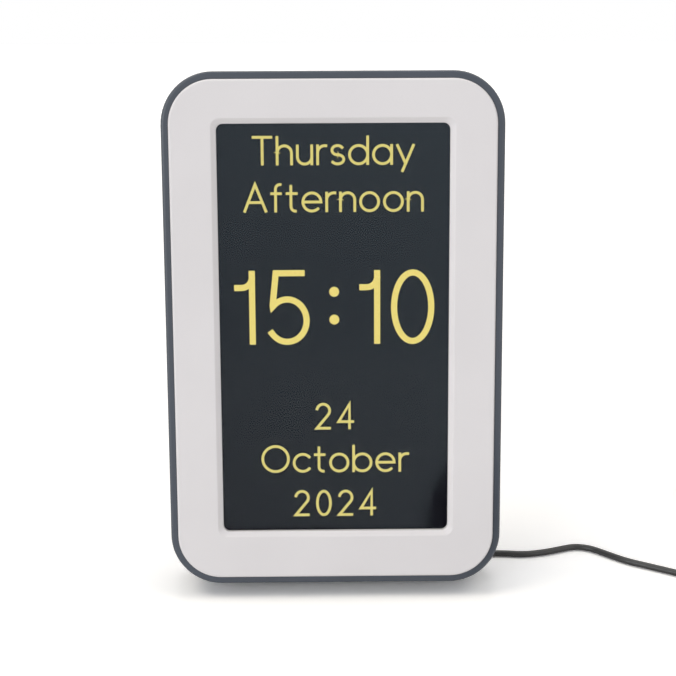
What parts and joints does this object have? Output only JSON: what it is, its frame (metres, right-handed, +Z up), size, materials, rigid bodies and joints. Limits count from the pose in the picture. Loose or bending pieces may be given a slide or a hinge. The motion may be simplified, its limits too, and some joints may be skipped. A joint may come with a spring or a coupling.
{
  "type": "day clock",
  "caption": "Portrait digital day clock: lit calendar display in a pale bezel, dark rear housing with sprung keys, fold-out stand, and a coiled lead to its mains adapter.",
  "frame": {"origin": "on the table, in the middle of the clock's own footprint, lead left out", "axes": "+X to the right as seen from the front, +Y towards the back, +Z up; the display looks along -Y, tipped up by 8 degrees"},
  "size_m": [0.268, 0.1045, 0.198],
  "materials": {
    "bezel_plastic": "fine spark texture, warm light grey",
    "housing_plastic": "fine spark texture, slate grey",
    "lens_glass": "clear, polished",
    "lcd_glass": "black, polished",
    "lcd_tray": "white moulded tray",
    "clamp_steel": "pressed sheet",
    "screw_steel": "zinc plated",
    "flex_film": "amber polyimide film",
    "circuit_board": "green solder mask",
    "chip_plastic": "moulded black",
    "cell_steel": "plated can",
    "speaker_frame": "black frame",
    "foam": "closed-cell foam",
    "foot_rubber": "moulded rubber",
    "plug_contact": "nickel plated",
    "lead_pvc": "smooth flexible PVC",
    "tie_strap": "hook and loop strap",
    "adapter_plastic": "moulded black",
    "key_plastic": "fine spark texture, slate grey"
  },
  "bodies": {
    "clock_body": {"front_bezel": "bezel_plastic", "display_lens": "lens_glass", "lcd_panel": "lcd_glass", "lcd_backlight": "lcd_tray", "lcd_clamps": "clamp_steel", "clamp_screws": "screw_steel", "lcd_ribbon": "flex_film", "rear_housing": "housing_plastic", "housing_screws": "screw_steel", "main_board": "circuit_board", "key_board": "circuit_board", "key_board_lead": "flex_film", "board_screws": "screw_steel", "board_components": "chip_plastic", "button_switches": "chip_plastic", "power_jack": "chip_plastic", "cell_holder": "chip_plastic", "backup_cell": "cell_steel", "speaker": "speaker_frame", "speaker_gasket": "foam", "speaker_leads": "lead_pvc", "stand_hinge_pin": "screw_steel", "front_feet": "foot_rubber", "plug_sleeve": "plug_contact", "power_plug": "lead_pvc", "power_cord": "lead_pvc", "cord_coil": "lead_pvc", "cord_tie": "tie_strap", "power_cord_tail": "lead_pvc", "power_adapter": "adapter_plastic", "adapter_pins": "plug_contact"},
    "stand": {"stand_plate": "housing_plastic", "stand_pads": "foot_rubber"},
    "menu_key": {"button_menu": "key_plastic"},
    "up_key": {"button_up": "key_plastic"},
    "down_key": {"button_down": "key_plastic"},
    "left_key": {"button_left": "key_plastic"},
    "right_key": {"button_right": "key_plastic"}
  },
  "joints": [
    {"name": "stand_fold", "type": "hinge", "parent": "clock_body", "child": "stand", "pos_m": [0, -0.01719, 0.00778], "axis": [1, 0, 0], "range_deg": [0, 82]},
    {"name": "menu_key_press", "type": "slide", "parent": "clock_body", "child": "menu_key", "axis": [0, -0.9903, 0.1392], "range_m": [0, 0.0007], "stiffness_N_per_m": 1200, "springref_m": -0.0004},
    {"name": "up_key_press", "type": "slide", "parent": "clock_body", "child": "up_key", "axis": [0, -0.9903, 0.1392], "range_m": [0, 0.0007], "stiffness_N_per_m": 1200, "springref_m": -0.0004},
    {"name": "down_key_press", "type": "slide", "parent": "clock_body", "child": "down_key", "axis": [0, -0.9903, 0.1392], "range_m": [0, 0.0007], "stiffness_N_per_m": 1200, "springref_m": -0.0004},
    {"name": "left_key_press", "type": "slide", "parent": "clock_body", "child": "left_key", "axis": [0, -0.9903, 0.1392], "range_m": [0, 0.0007], "stiffness_N_per_m": 1200, "springref_m": -0.0004},
    {"name": "right_key_press", "type": "slide", "parent": "clock_body", "child": "right_key", "axis": [0, -0.9903, 0.1392], "range_m": [0, 0.0007], "stiffness_N_per_m": 1200, "springref_m": -0.0004}
  ]
}
